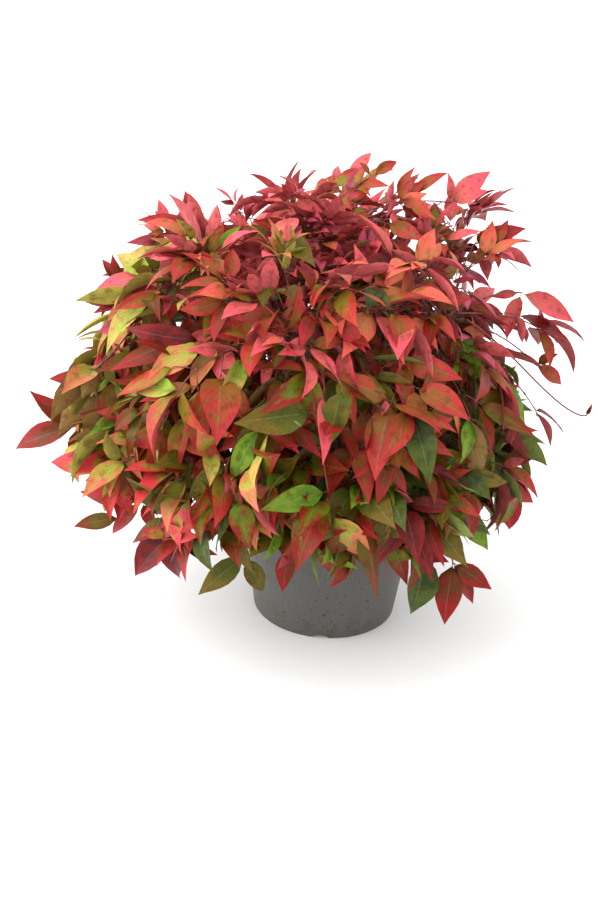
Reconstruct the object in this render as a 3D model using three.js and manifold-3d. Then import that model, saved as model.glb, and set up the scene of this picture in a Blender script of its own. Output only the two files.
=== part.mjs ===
// A dwarf heavenly bamboo in a grey nursery pot. Slender canes stand on the potting mix, and each one
// carries a mass of foliage of its own: wiry leaf stalks that branch from one stem and end in sprays of
// pointed leaflets. The masses together make a low dome that hangs down to the rim of the pot.
// Millimetres, +Z up. The origin is the middle of the pot's underside, and -Y is the front.

import * as THREE from "three";
import { mergeVertices } from "three/addons/utils/BufferGeometryUtils.js";
import Module from "manifold-3d";

// Pot: a moulded shell with a wider band round its top, a beaded lip and arched drain holes at its foot.
const POT_HEIGHT = 130;
const FOOT_RADIUS = 67;
const TAPER = 0.125; // radius gained per millimetre of height
const WALL = 1.8;
const FLOOR = 3;
const BAND_FOOT = 92; // height at which the wider band begins
const BAND_STEP = 1.5;
const LIP_HEIGHT = 4;
const LIP_STEP = 1.6;
const LIP_EDGE = 1; // size of the bevels on the lip
const FOOT_CHAMFER = 1.5;
const POT_SIDES = 36;
const DRAINS = 4;
const DRAIN_WIDTH = 16;
const DRAIN_HEIGHT = 4.5;
const DRAIN_INSET = 20; // how far a drain arch runs in from the foot's edge
const DRAIN_SIDES = 24;
const LIP_RADIUS = FOOT_RADIUS + TAPER * (POT_HEIGHT - LIP_HEIGHT) + BAND_STEP + LIP_STEP;

// Potting mix: fills the shell to a little under its rim.
const SOIL_TOP = 113;
const CLEARANCE = 0.3; // gap between solids that touch

// Crown: the leaf stalks end on or inside this ellipsoid, and their leaflets reach out past it.
const CROWN_X = -34; // the crown leans to the left of the pot
const CROWN_Z = 176;
const CROWN_ACROSS = 192;
const CROWN_DEEP = 188;
const CROWN_UP = 192;
const SHOULDER = 0.08; // share by which the crown's shoulders stand out of the ellipsoid
const SKIRT_COS = -0.31; // cosine of the polar angle at which the crown's lower edge ends
const STALKS = 156;
const SKIRT_BIAS = 0.88; // below 1 moves stalks from the top of the crown to its skirt
const DEPTH_SPREAD = 0.34; // share of the way in at which the innermost stalks end
const PITCH_TOP = 0.8; // radians that a spray rises at the very top of the crown
const PITCH_SIDE = 1.05; // radians that it hangs at the crown's widest
const PITCH_PLAY = 0.5; // radians over which sprays are tilted at random
const TURN_PLAY = 0.9; // radians over which they are turned aside
const ROLL_PLAY = 0.9; // radians over which they are rolled about their own line
const GOLDEN_ANGLE = Math.PI * (3 - Math.sqrt(5));
const SEED = 24;

// Sprays that stand out of the dome: where the stalk of each one ends.
const OUTLIERS = [
  [-46, -20, 372],
  [-6, 25, 376],
  [38, -10, 374],
  [96, 10, 366],
  [112, 0, 338],
  [158, -10, 284],
  [172, 0, 208],
  [-238, -52, 208],
  [-172, 0, 296],
  [-140, 10, 334],
  [-86, -132, 118],
  [92, -132, 118],
];

// Canes and the masses that they carry, in rings about the crown's axis. Each ring has its count, its
// first angle, and radius and height for the middle of a mass's space, for the end of its stem (heart)
// and for the tip of its cane. The foot is the cane's distance from the middle of the pot.
const RINGS = [
  { name: "top", count: 1, turn: 0, space: [0, 425], heart: [0, 352], tip: [0, 290], foot: 0 },
  {
    name: "upper",
    count: 5,
    turn: -Math.PI / 10,
    space: [185, 285],
    heart: [128, 296],
    tip: [72, 262],
    foot: 16,
  },
  {
    name: "lower",
    count: 8,
    turn: Math.PI / 8,
    space: [105, 140],
    heart: [128, 176],
    tip: [70, 168],
    foot: 36,
  },
];
const CANE_SIDES = 6;
const CANE_RINGS = [0, 0.05, 0.2, 0.4, 0.6, 0.8, 1]; // shares of a cane's length
const CANE_FOOT_RADIUS = 3.4;
const CANE_TIP_RADIUS = 2.4;
const CANE_FLARE = 1.45; // how much wider the very foot of a cane is
const CANE_BEND = 0.4; // share of a cane's reach over which it rises upright, and then joins its stem

// Twigs: three-sided stems and leaf stalks.
const TWIG_SIDES = 3;
const STEM_RADIUS = 2.4;
const STEM_TIP_RADIUS = 1.7;
const STEM_BARE = 0.2; // share of a stem below its first stalk
const STALK_RADIUS = 1.1;
const STALK_BEND = 0.38; // share of a stalk's reach over which its end follows the spray's line
const JOINTS = [26, 0]; // how far from a stalk's end its pairs of leaflets stand
const JOINT_LENGTH = 4;

// Leaflets: pointed, widest before the middle, folded along the midrib, with a drooping tip.
const LEAF_LENGTH = 64;
const LEAF_LENGTH_SPREAD = 0.16;
const LEAF_WIDTH = 0.42; // of its length
const LEAF_KEEL = 0.02; // how far the midrib stands below the middle of the blade, of its length
const LEAF_WIDEST = 0.42; // share of the length at which it is widest
const LEAF_FOLD = 0.16; // how far the sides rise above the midrib, of the half width
const LEAF_DROOP = 0.2; // how far the tip hangs below the leaf's own line, of its length
const LEAF_FAN = 1.05; // turn of a side leaflet from its stalk's line
const LEAF_PLAY = 0.3; // radians over which a leaflet is turned at random
const LEAF_LIFT_PLAY = 0.5; // the same for how far it is raised out of its spray's plane
const LEAF_TRIES = 12; // a leaflet that doesn't fit is tried again, then skipped
const TRY_PLAY = 0.1; // radians of play that each try adds
const TRY_LEAN = 0.08; // how much further each try leans towards the heart of the mass
const TRY_SHRINK = 0.03; // share of its length that each try takes off
const TOUCH_VOLUME = 1e-4; // cubic millimetres that count as touching only
const SPACE_MARGIN = 0.6; // what a mass keeps from the edge of its space
const LIMB_MARGIN = 1.2; // what a twig or leaflet keeps from canes and pot
const LOWEST_LEAF = 62;

const COLOURS = {
  pot: 0x6d6f72,
  soil: 0x2e231b,
  cane: 0x6b4a3a,
  top: 0xa83a44,
  upper: 0xc04a48,
  lower: 0xa8703c,
};

const wasm = await Module();
wasm.setup();

// --- Helpers -------------------------------------------------------------------------------------

// A seeded stream of numbers from 0 to 1, the same on every run.
function stream(seed) {
  let state = Math.imul(seed + SEED, 2654435761) >>> 0;
  return () => {
    state = (Math.imul(state, 1664525) + 1013904223) >>> 0;
    return state / 4294967296;
  };
}

// A point about the crown's axis.
function aboutCrown(radius, angle, height) {
  return new THREE.Vector3(CROWN_X + radius * Math.cos(angle), radius * Math.sin(angle), height);
}

function solidOf(geometry) {
  const bare = new THREE.BufferGeometry();
  bare.setAttribute("position", geometry.getAttribute("position"));
  bare.setIndex(geometry.index);
  const merged = mergeVertices(bare, 1e-4);
  return new wasm.Manifold(
    new wasm.Mesh({
      numProp: 3,
      vertProperties: new Float32Array(merged.attributes.position.array),
      triVerts: new Uint32Array(merged.index.array),
    }),
  );
}

function geometryOf(solid) {
  const mesh = solid.getMesh();
  const geometry = new THREE.BufferGeometry();
  geometry.setAttribute("position", new THREE.BufferAttribute(mesh.vertProperties, 3));
  geometry.setIndex(new THREE.BufferAttribute(mesh.triVerts, 1));
  return geometry;
}

function namedMesh(name, geometry, colour, roughness) {
  const material = new THREE.MeshStandardMaterial({ color: colour, roughness, metalness: 0 });
  const mesh = new THREE.Mesh(geometry, material);
  mesh.name = name;
  return mesh;
}

// A closed surface of numbered triangles over a list of points.
function surfaceGeometry(points, faces) {
  return new THREE.BufferGeometry().setFromPoints(points).setIndex(faces.flat());
}

// The triangles that join two rings, given as the numbers of their points.
function tube(near, far) {
  return near.flatMap((corner, i) => {
    const next = (i + 1) % near.length;
    return [
      [corner, near[next], far[next]],
      [corner, far[next], far[i]],
    ];
  });
}

// The triangles that close a ring.
function cap(ring) {
  return ring.slice(2).map((corner, i) => [ring[0], ring[i + 1], corner]);
}

// A closed limb along a curve, with a ring of points at each share of its length. A ring of three runs
// from its one side over the top to the other, and to the keel below.
function limbSurface(curve, radiusAt, up, sides, shares) {
  const points = shares.flatMap((share) => {
    const at = curve.getPoint(share);
    const line = curve.getTangent(share);
    const side = new THREE.Vector3().crossVectors(up, line).normalize();
    const top = new THREE.Vector3().crossVectors(line, side);
    return Array.from({ length: sides }, (_, k) => {
      const turn = Math.PI / 6 + (k / sides) * 2 * Math.PI;
      const across = side.clone().multiplyScalar(Math.cos(turn) * radiusAt(share));
      return across.addScaledVector(top, Math.sin(turn) * radiusAt(share)).add(at);
    });
  });
  const rings = shares.map((_, i) => Array.from({ length: sides }, (__, k) => sides * i + k));
  const walls = rings.slice(1).flatMap((ring, i) => tube(rings[i], ring));
  const faces = [...cap(rings[0].toReversed()), ...walls, ...cap(rings.at(-1))];
  return { points, rings, faces };
}

// --- Pot and potting mix -------------------------------------------------------------------------

function wallRadius(height) {
  return FOOT_RADIUS + TAPER * height;
}

function potGeometry() {
  const lipFoot = POT_HEIGHT - LIP_HEIGHT;
  const bandRadius = (height) => wallRadius(height) + BAND_STEP;
  const profile = [
    [0, 0],
    [FOOT_RADIUS - FOOT_CHAMFER, 0],
    [wallRadius(FOOT_CHAMFER), FOOT_CHAMFER],
    [wallRadius(BAND_FOOT), BAND_FOOT],
    [bandRadius(BAND_FOOT), BAND_FOOT + BAND_STEP],
    [bandRadius(lipFoot), lipFoot],
    [LIP_RADIUS, lipFoot + LIP_EDGE],
    [LIP_RADIUS, POT_HEIGHT - LIP_EDGE],
    [LIP_RADIUS - LIP_EDGE, POT_HEIGHT],
    [bandRadius(POT_HEIGHT) - WALL, POT_HEIGHT],
    [bandRadius(BAND_FOOT) - WALL, BAND_FOOT + BAND_STEP],
    [wallRadius(BAND_FOOT) - WALL, BAND_FOOT],
    [wallRadius(FLOOR) - WALL, FLOOR],
    [0, FLOOR],
  ].map(([radius, height]) => new THREE.Vector2(radius, height));
  const shell = new THREE.LatheGeometry(profile, POT_SIDES);
  shell.rotateX(Math.PI / 2);
  let solid = solidOf(shell);
  for (let i = 0; i < DRAINS; i++) {
    solid = solid.subtract(solidOf(drainGeometry((i / DRAINS) * 2 * Math.PI - Math.PI / 2)));
  }
  return geometryOf(solid);
}

// An arch that runs in from the foot's edge, as wide and high as a drain hole.
function drainGeometry(angle) {
  const radius = ((DRAIN_WIDTH / 2) ** 2 + DRAIN_HEIGHT ** 2) / (2 * DRAIN_HEIGHT);
  const length = DRAIN_INSET * 2;
  const arched = new THREE.CylinderGeometry(radius, radius, length, DRAIN_SIDES);
  arched.rotateZ(Math.PI / 2);
  arched.translate(FOOT_RADIUS, 0, DRAIN_HEIGHT - radius);
  arched.rotateZ(angle);
  return arched;
}

function soilGeometry() {
  const inside = (height) => wallRadius(height) - WALL - 2 * CLEARANCE;
  const profile = [
    [0, FLOOR + CLEARANCE],
    [inside(FLOOR), FLOOR + CLEARANCE],
    [inside(BAND_FOOT), BAND_FOOT],
    [inside(BAND_FOOT) + BAND_STEP, BAND_FOOT + 2 * BAND_STEP],
    [inside(SOIL_TOP) + BAND_STEP, SOIL_TOP],
    [0, SOIL_TOP],
  ].map(([radius, height]) => new THREE.Vector2(radius, height));
  const soil = new THREE.LatheGeometry(profile, POT_SIDES);
  soil.rotateX(Math.PI / 2);
  return soil;
}

// --- Canes ---------------------------------------------------------------------------------------

// Every mass of foliage: its name, the middle of its space, its stem's two ends and direction, and its
// cane's curve.
function makeMasses() {
  const masses = [];
  for (const ring of RINGS) {
    for (let i = 0; i < ring.count; i++) {
      const angle = ring.turn + (i / ring.count) * 2 * Math.PI;
      const at = ([radius, height]) => aboutCrown(radius, angle, height);
      const [space, heart, tip] = [at(ring.space), at(ring.heart), at(ring.tip)];
      const [x, y] = [ring.foot * Math.cos(angle), ring.foot * Math.sin(angle)];
      const foot = new THREE.Vector3(x, y, SOIL_TOP + CLEARANCE);
      const way = heart.clone().sub(tip).normalize();
      const name = ring.count > 1 ? `${ring.name}_${i + 1}` : ring.name;
      const curve = caneCurve(foot, tip, way);
      masses.push({ ring: ring.name, name, space, heart, tip, way, curve, stalks: [] });
    }
  }
  return masses;
}

// A cane rises upright from its flat foot on the mix and bends into the line of its mass's stem.
function caneCurve(foot, tip, way) {
  const bend = CANE_BEND * foot.distanceTo(tip);
  const rise = foot.clone().add(new THREE.Vector3(0, 0, bend));
  return new THREE.CubicBezierCurve3(foot, rise, tip.clone().addScaledVector(way, -bend), tip);
}

function caneRadius(share) {
  const flare = share > 0 ? 1 : CANE_FLARE;
  return (CANE_FOOT_RADIUS + (CANE_TIP_RADIUS - CANE_FOOT_RADIUS) * share) * flare;
}

function caneGeometry(curve, margin = 0) {
  const radius = (share) => caneRadius(share) + margin;
  const up = new THREE.Vector3(0, 1, 0);
  const { points, faces } = limbSurface(curve, radius, up, CANE_SIDES, CANE_RINGS);
  return surfaceGeometry(points, faces);
}

// What twigs and leaflets keep clear of: the canes and the whole pot, each with its margin.
function limbBlocks(masses) {
  const radius = LIP_RADIUS + LIMB_MARGIN;
  const height = POT_HEIGHT + LIMB_MARGIN;
  const block = new THREE.CylinderGeometry(radius, radius, height, POT_SIDES);
  block.rotateX(Math.PI / 2);
  block.translate(0, 0, height / 2);
  return [block, ...masses.map(({ curve }) => caneGeometry(curve, LIMB_MARGIN))].map(solidOf);
}

// --- Foliage -------------------------------------------------------------------------------------

// True if a point is in a mass's own space: nearer its middle than any other's, by the margin.
function inSpace(point, mass, masses) {
  return masses.every((other) => {
    if (other === mass) return true;
    const apart = mass.space.distanceTo(other.space);
    const past = point.distanceToSquared(other.space) - point.distanceToSquared(mass.space);
    return past / (2 * apart) > SPACE_MARGIN;
  });
}

// True if every point of a twig or leaflet keeps to its mass's space.
function fits(points, mass, masses) {
  return points.every((point) => point.z > LOWEST_LEAF && inSpace(point, mass, masses));
}

function crosses(solid, others) {
  const box = solid.boundingBox();
  return others.some((other) => {
    const near = other.boundingBox();
    const apart = [0, 1, 2].some((k) => box.min[k] > near.max[k] || box.max[k] < near.min[k]);
    return !apart && solid.intersect(other).volume() > TOUCH_VOLUME;
  });
}

// A leaf stalk by where it ends, with the line that its spray follows and that line's upper side:
// rising at the top of the crown, level on its shoulders and hanging at its sides.
function stalkAt(number, end) {
  const outward = new THREE.Vector3(
    (end.x - CROWN_X) / CROWN_ACROSS,
    end.y / CROWN_DEEP,
    (end.z - CROWN_Z) / CROWN_UP,
  ).normalize();
  const random = stream(number);
  const angle = Math.atan2(outward.y, outward.x) + (random() - 0.5) * TURN_PLAY;
  const rise = PITCH_TOP * outward.z ** 3 - PITCH_SIDE * (1 - outward.z) ** 0.75;
  const pitch = rise + (random() - 0.5) * PITCH_PLAY;
  const away = new THREE.Vector3(Math.cos(angle), Math.sin(angle), 0);
  const above = new THREE.Vector3(0, 0, 1);
  const line = away.clone().multiplyScalar(Math.cos(pitch)).addScaledVector(above, Math.sin(pitch));
  const up = away.multiplyScalar(-Math.sin(pitch)).addScaledVector(above, Math.cos(pitch));
  up.applyAxisAngle(line, (random() - 0.5) * ROLL_PLAY);
  return { end, line, up, random };
}

// All leaf stalks: their ends are spread evenly over the crown by the golden angle.
function makeStalks() {
  const stalks = OUTLIERS.map((end, i) => stalkAt(i, new THREE.Vector3(...end)));
  for (let i = 0; i < STALKS; i++) {
    const cosine = 1 - ((i + 0.5) / STALKS) ** SKIRT_BIAS * (1 - SKIRT_COS);
    const sine = Math.sqrt(1 - cosine * cosine);
    const angle = i * GOLDEN_ANGLE;
    const bulge = 1 + SHOULDER * (2 * sine * Math.max(0, cosine)) ** 2;
    const reach = bulge * (1 - DEPTH_SPREAD * stream(i)() ** 2);
    const end = new THREE.Vector3(
      CROWN_X + CROWN_ACROSS * reach * sine * Math.cos(angle),
      CROWN_DEEP * reach * sine * Math.sin(angle),
      CROWN_Z + CROWN_UP * reach * cosine,
    );
    stalks.push(stalkAt(OUTLIERS.length + i, end));
  }
  return stalks;
}

// Deals every stalk to the mass in whose space it ends.
function dealStalks(masses) {
  for (const stalk of makeStalks()) {
    const nearest = masses.reduce((best, mass) =>
      mass.space.distanceTo(stalk.end) < best.space.distanceTo(stalk.end) ? mass : best,
    );
    nearest.stalks.push(stalk);
  }
}

// A leaflet's four points: its two edges and its keel where it is widest, and its tip.
function leafletPoints(root, line, up, length) {
  const side = new THREE.Vector3().crossVectors(up, line).normalize();
  const top = new THREE.Vector3().crossVectors(line, side);
  const halfWidth = (LEAF_WIDTH * length) / 2;
  const middle = root.clone().addScaledVector(line, LEAF_WIDEST * length);
  const fold = top.clone().multiplyScalar(LEAF_FOLD * halfWidth);
  const edge = (way) => middle.clone().addScaledVector(side, way * halfWidth).add(fold);
  const keel = middle.clone().addScaledVector(top, -LEAF_KEEL * length);
  const tip = root.clone().addScaledVector(line, length).addScaledVector(top, -LEAF_DROOP * length);
  return [edge(1), edge(-1), keel, tip];
}

// A leaflet's nine faces, from the three corners of its neck by way of its widest part to its tip.
function leafletFaces(neck, first) {
  const widest = [first, first + 1, first + 2];
  const tip = first + 3;
  const blade = widest.map((corner, i) => [corner, widest[(i + 1) % 3], tip]);
  return tube(neck, widest).concat(blade);
}

// A leaf stalk from a point inside its mass's stem to its spray, with two rings at each joint.
function growStalk(stalk, from) {
  const bend = stalk.end.clone().addScaledVector(stalk.line, -STALK_BEND * from.distanceTo(stalk.end));
  const curve = new THREE.QuadraticBezierCurve3(from, bend, stalk.end);
  const length = curve.getLength();
  const joints = JOINTS.flatMap((back) => [1 - (back + JOINT_LENGTH) / length, 1 - back / length]);
  const shares = [0, joints[0] / 2, ...joints];
  stalk.surface = limbSurface(curve, () => STALK_RADIUS, stalk.up, TWIG_SIDES, shares);
  stalk.solid = solidOf(surfaceGeometry(stalk.surface.points, stalk.surface.faces));
}

// The places for a stalk's leaflets: the triangle that each one grows from, and its turn from the line.
function leafletPlaces({ rings }) {
  const places = [{ neck: rings.at(-1), turn: 0 }];
  for (let k = rings.length - 2; k > 1; k -= 2) {
    const [back, front] = [rings[k], rings[k + 1]];
    places.push({ neck: [back[0], front[0], back[2]], turn: LEAF_FAN });
    places.push({ neck: [front[1], back[1], front[2]], turn: -LEAF_FAN });
  }
  return places;
}

// Grows the leaflets of one stalk out of its surface. Each is turned and tried again until it keeps
// clear of everything, or else is skipped.
function growLeaflets({ surface, line, up, random }, inward, fitsHere, placed) {
  const { points, faces } = surface;
  const leaves = [];
  for (const { neck, turn } of leafletPlaces(surface)) {
    const corners = neck.map((i) => points[i]);
    const root = corners[0].clone().add(corners[1]).add(corners[2]).divideScalar(3);
    const length = LEAF_LENGTH * (1 + LEAF_LENGTH_SPREAD * (2 * random() - 1));
    for (let tried = 0; tried < LEAF_TRIES; tried++) {
      const extra = TRY_PLAY * tried;
      const way = line.clone().applyAxisAngle(up, turn + (random() - 0.5) * (LEAF_PLAY + extra));
      way.addScaledVector(up, (random() - 0.5) * (LEAF_LIFT_PLAY + extra));
      way.addScaledVector(inward, TRY_LEAN * tried).normalize();
      const grown = leafletPoints(root, way, up, length * (1 - TRY_SHRINK * tried));
      if (!fitsHere(grown)) continue;
      const closed = [[0, 2, 1], ...leafletFaces([0, 1, 2], corners.length)];
      const leaf = solidOf(surfaceGeometry([...corners, ...grown], closed));
      if (leaf.volume() < 0 || crosses(leaf, placed.concat(leaves))) continue;
      leaves.push(leaf);
      faces.splice(faces.findIndex((face) => neck.every((i) => face.includes(i))), 1);
      faces.push(...leafletFaces(neck, points.length));
      points.push(...grown);
      break;
    }
  }
  return leaves;
}

// One mass: its stem, its leaf stalks and their leaflets, fused into one closed solid. The stalks
// leave the stem one after another, in the order of how far out they end.
function massGeometry(mass, masses, blocks) {
  const { heart, tip, way, stalks } = mass;
  const start = tip.clone().addScaledVector(way, CLEARANCE);
  const axis = new THREE.LineCurve3(start, heart);
  const radius = (share) => STEM_RADIUS + (STEM_TIP_RADIUS - STEM_RADIUS) * share;
  const up = new THREE.Vector3(-way.z, 0, 1); // never along the stem, even where that is upright
  const stemSurface = limbSurface(axis, radius, up, TWIG_SIDES, [0, 1]);
  const stem = solidOf(surfaceGeometry(stemSurface.points, stemSurface.faces));

  const outward = (stalk) => stalk.end.clone().sub(tip).dot(way);
  stalks.sort((a, b) => outward(a) - outward(b));
  stalks.forEach((stalk, i) => {
    growStalk(stalk, axis.getPoint(STEM_BARE + ((1 - STEM_BARE) * (i + 0.5)) / stalks.length));
  });
  const fitsHere = (points) => fits(points, mass, masses);
  const held = stalks.filter(({ surface, solid }) => fitsHere(surface.points) && !crosses(solid, blocks));

  const placed = [...blocks, stem, ...held.map(({ solid }) => solid)];
  for (const stalk of held) {
    const inward = heart.clone().sub(stalk.end).normalize();
    placed.push(...growLeaflets(stalk, inward, fitsHere, placed));
  }
  const grown = held.map(({ surface }) => solidOf(surfaceGeometry(surface.points, surface.faces)));
  const bodies = wasm.Manifold.union([stem, ...grown]).decompose();
  return geometryOf(bodies.reduce((a, b) => (a.volume() > b.volume() ? a : b)));
}

// --- Assembly ------------------------------------------------------------------------------------

const plant = new THREE.Group();
plant.add(namedMesh("pot", potGeometry(), COLOURS.pot, 0.6));
plant.add(namedMesh("soil", soilGeometry(), COLOURS.soil, 1));

const masses = makeMasses();
const blocks = limbBlocks(masses);
dealStalks(masses);
for (const mass of masses) {
  plant.add(namedMesh(`cane_${mass.name}`, caneGeometry(mass.curve), COLOURS.cane, 0.8));
  plant.add(namedMesh(`foliage_${mass.name}`, massGeometry(mass, masses, blocks), COLOURS[mass.ring], 0.5));
}

export default plant;
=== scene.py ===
# A dwarf heavenly bamboo in a grey nursery pot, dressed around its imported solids.
# Lengths are in millimetres until a mesh is made. The frame is the solids' own: +Z up, -Y the front,
# and the origin in the middle of the pot's underside.

import math
import random

import bmesh
import bpy
import numpy as np
from mathutils import Matrix, Quaternion, Vector


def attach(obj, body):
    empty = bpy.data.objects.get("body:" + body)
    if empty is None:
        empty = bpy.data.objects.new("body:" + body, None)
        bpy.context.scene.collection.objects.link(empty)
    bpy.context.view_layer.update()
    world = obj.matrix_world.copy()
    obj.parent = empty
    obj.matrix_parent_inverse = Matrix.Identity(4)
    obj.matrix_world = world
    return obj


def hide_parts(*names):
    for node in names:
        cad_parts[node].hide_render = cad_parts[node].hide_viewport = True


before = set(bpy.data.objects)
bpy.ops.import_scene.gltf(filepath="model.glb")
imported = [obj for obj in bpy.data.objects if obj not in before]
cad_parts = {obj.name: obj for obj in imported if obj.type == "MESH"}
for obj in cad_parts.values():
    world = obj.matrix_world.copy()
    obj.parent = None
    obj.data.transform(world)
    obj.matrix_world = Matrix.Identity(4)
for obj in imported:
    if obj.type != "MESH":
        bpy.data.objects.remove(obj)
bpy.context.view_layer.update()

MM = 0.001
UP = Vector((0, 0, 1))

# Camera: where it stands and how it is turned, for a picture 600 wide and 900 high.
CAMERA_AT = (0, -754.4, 457.1)
CAMERA_RIGHT = (0.99696, 0.06006, 0.04966)
CAMERA_UP = (-0.06844, 0.37008, 0.92648)
LENS = 36  # with a sensor as long as the picture's long side
CLIP_START = 10

# Stage: the floor, and each light's place, aim and size in metres, its watts and its colour.
FLOOR_SIZE = 9000
FLOOR_BACK = 2200  # how far behind the pot the floor turns up
FLOOR_BEND = 900
FLOOR_STEPS = 16
FLOOR_GREY = (0.8, 0.8, 0.8, 1)
SKY_STRENGTH = 1.65
AIM = (-0.03, 0, 0.18)
LIGHTS = {
    "key": ((-1.4, -0.7, 1.6), AIM, 2.2, 38, (1, 0.99, 0.97)),
    "fill": ((1.3, -1.1, 1.1), AIM, 1.6, 1.5, (1, 0.98, 0.96)),
    "low": ((-1.6, -0.35, 0.5), AIM, 1.2, 16, (1, 1, 0.99)),
    "backdrop": ((0, 1.3, 2.4), (0, 3.4, 1.2), 3.0, 50, (1, 1, 1)),
}

# Pot: the solids' own sizes, with the wall, corners and arches made finer.
POT_HEIGHT = 130
FOOT_RADIUS = 67
TAPER = 0.125
WALL = 1.8
WALL_RINGS = (1.8, 20, 45, 70, 91.5)
BAND_FOOT = 92
BAND_STEP = 1.5
BAND_RING = 110
LIP_FOOT = 126
LIP_STEP = 1.6
LIP_RADIUS = FOOT_RADIUS + TAPER * LIP_FOOT + BAND_STEP + LIP_STEP
DRAINS = 4
DRAIN_WIDTH = 16
DRAIN_HEIGHT = 4.5
DRAIN_INSET = 20
DRAIN_SIDES = 96
POT_FLOOR = 3
POT_SIDES = 144
SHARP_ANGLE = 35  # degrees from which an edge of the shell stays sharp

# The shell's rounded corners, as steps outwards and upwards from where two lines meet.
FOOT_CORNER = [(-1.5, 0), (-0.6, 0.25), (0, 0.9)]
BAND_CORNER = [(0.1, 0), (1.3, 1.1), (1.5, 1.6)]
UNDER_LIP = [(0, -0.6), (0.2, 0), (1.1, 0.5), (1.6, 1.1)]
LIP_CORNER = [(0, -1.1), (-0.4, -0.3), (-1.2, 0)]
INNER_CORNER = [(0.6, 0), (0, -0.6)]

# Potting mix, and bits of bark on it.
CLEARANCE = 0.3
SOIL_TOP = 113
SOIL_EDGE = 1.5  # how far its top edge is worn down
SOIL_RINGS = 26
SOIL_ROUGH = (-1.4, 0.2)
SOIL_SEED = 3
CRUMBS = 260
CRUMB_MARGIN = 6
CRUMB_SUNK = 0.4
CRUMB_SIZES = ((1.5, 4), (1, 2.4), (0.5, 1.1))  # half its length, width and height
CRUMB_TILT = 0.4
CRUMB_WEAR = 0.7  # the share of its size to which a corner may be worn

# Colours of the pot, the mix, the canes and the leaf stalks, as they look on a screen.
POT_GREY = (0.270, 0.265, 0.253)
POT_PALE = (0.325, 0.320, 0.304)
SCUFF = (0.43, 0.425, 0.405)
SMEAR = (0.25, 0.21, 0.17)
SPECK = (0.11, 0.09, 0.08)
PEAT = (0.10, 0.07, 0.05)
PEAT_PALE = (0.27, 0.20, 0.14)
FIBRE = (0.45, 0.34, 0.24)
FURROW = (0.24, 0.15, 0.11)
RIDGE = (0.52, 0.36, 0.27)
BARK_RED = (0.40, 0.21, 0.17)
STALK_WINE = (0.30, 0.10, 0.10)
STALK_BROWN = (0.50, 0.26, 0.17)

# The painted highlight round the band's foot, where its ledge would catch light, and the painted
# shadow under the band: the heights at which each starts, is full, fades and ends, and its colour.
BAND_HIGHLIGHT_AND_SHADOW = [
    ((91.2, 92.2, 93.4, 94.6), (0.56, 0.555, 0.54)),
    ((88.4, 91.0, 91.6, 92.2), (0.14, 0.13, 0.12)),
]

# Crown: the solids' rule for where the leaf stalks end and which way they point.
CROWN_X = -34
CROWN_Z = 176
CROWN_ACROSS = 192
CROWN_DEEP = 188
CROWN_UP = 192
CROWN_MIDDLE = Vector((CROWN_X, 0, CROWN_Z))
SHOULDER = 0.08
SKIRT_COS = -0.31
STALKS = 156
SKIRT_BIAS = 0.88
DEPTH_SPREAD = 0.34
PITCH_TOP = 0.8
PITCH_SIDE = 1.05
PITCH_PLAY = 0.5
TURN_PLAY = 0.9
ROLL_PLAY = 0.9
GOLDEN_ANGLE = math.pi * (3 - math.sqrt(5))
SEED = 24
STREAM_STATES = 2**32

# What the leaves add to that rule: inner sprays, a crown that opens at its sides, sprays carried
# further out, and tufts.
INNER_STALKS = 150  # finer sprays behind the outer ones
INNER_REACH = (0.62, 0.96)
INNER_BIAS = 1.25  # over 1, more of them are near the top
INNER_SIDE = 3  # at either side only one in so many is kept
OPEN_SIDE = 0.55  # how far to either side the crown starts to open
GAPS = (0.1, 0.5)  # the share of side twigs that are missing, and that at either side
OUTLIER_GROWTH = 12  # how much further the outlying sprays near the top are carried
STRAY_GROWTH = 24  # and at most how much further one of the others
TUFT = 8  # short sprays at each stem's end, which hide where its long stalks part
TUFT_NUMBER = 1000
TUFT_LENGTH = (34, 72)
TUFT_ROOT = (0.75, 1)  # where along the stem they start
TUFT_ASIDE = 1.1
TUFT_REACH = 0.96

PARTS = {"top": 1, "upper": 2, "lower": 4}  # pieces that each ring's foliage is joined into

# The solids' outlying stalks, in their order: where each ends, and its tint. Sprigs stand for those
# without one.
OUTLIERS = [
    ((-46, -20, 372), "rose"),
    ((-6, 25, 376), "flame"),
    ((38, -10, 374), "coral"),
    ((96, 10, 366), "rose"),
    ((112, 0, 338), "coral"),
    ((158, -10, 284), "coral"),
    ((172, 0, 208), "cherry"),
    ((-238, -52, 208), None),
    ((-172, 0, 296), "scarlet"),
    ((-140, 10, 334), "dusk"),
    ((-86, -132, 118), None),
    ((92, -132, 118), None),
]

# How far the leaves reach from the crown's middle, seen from the front, by the angle up from its
# right-hand side.
OUTLINE_FROM = -30
OUTLINE_STEP = 15
OUTLINE = [205, 212, 200, 212, 206, 210, 245, 232, 224, 218, 218, 208, 210, 206, 194, 198, 192]
OUTLINE_EASE = (-4, 16)  # how much further a leaf may reach
OUTLINE_STALKS = 30  # and how far inside it a stalk ends

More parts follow.
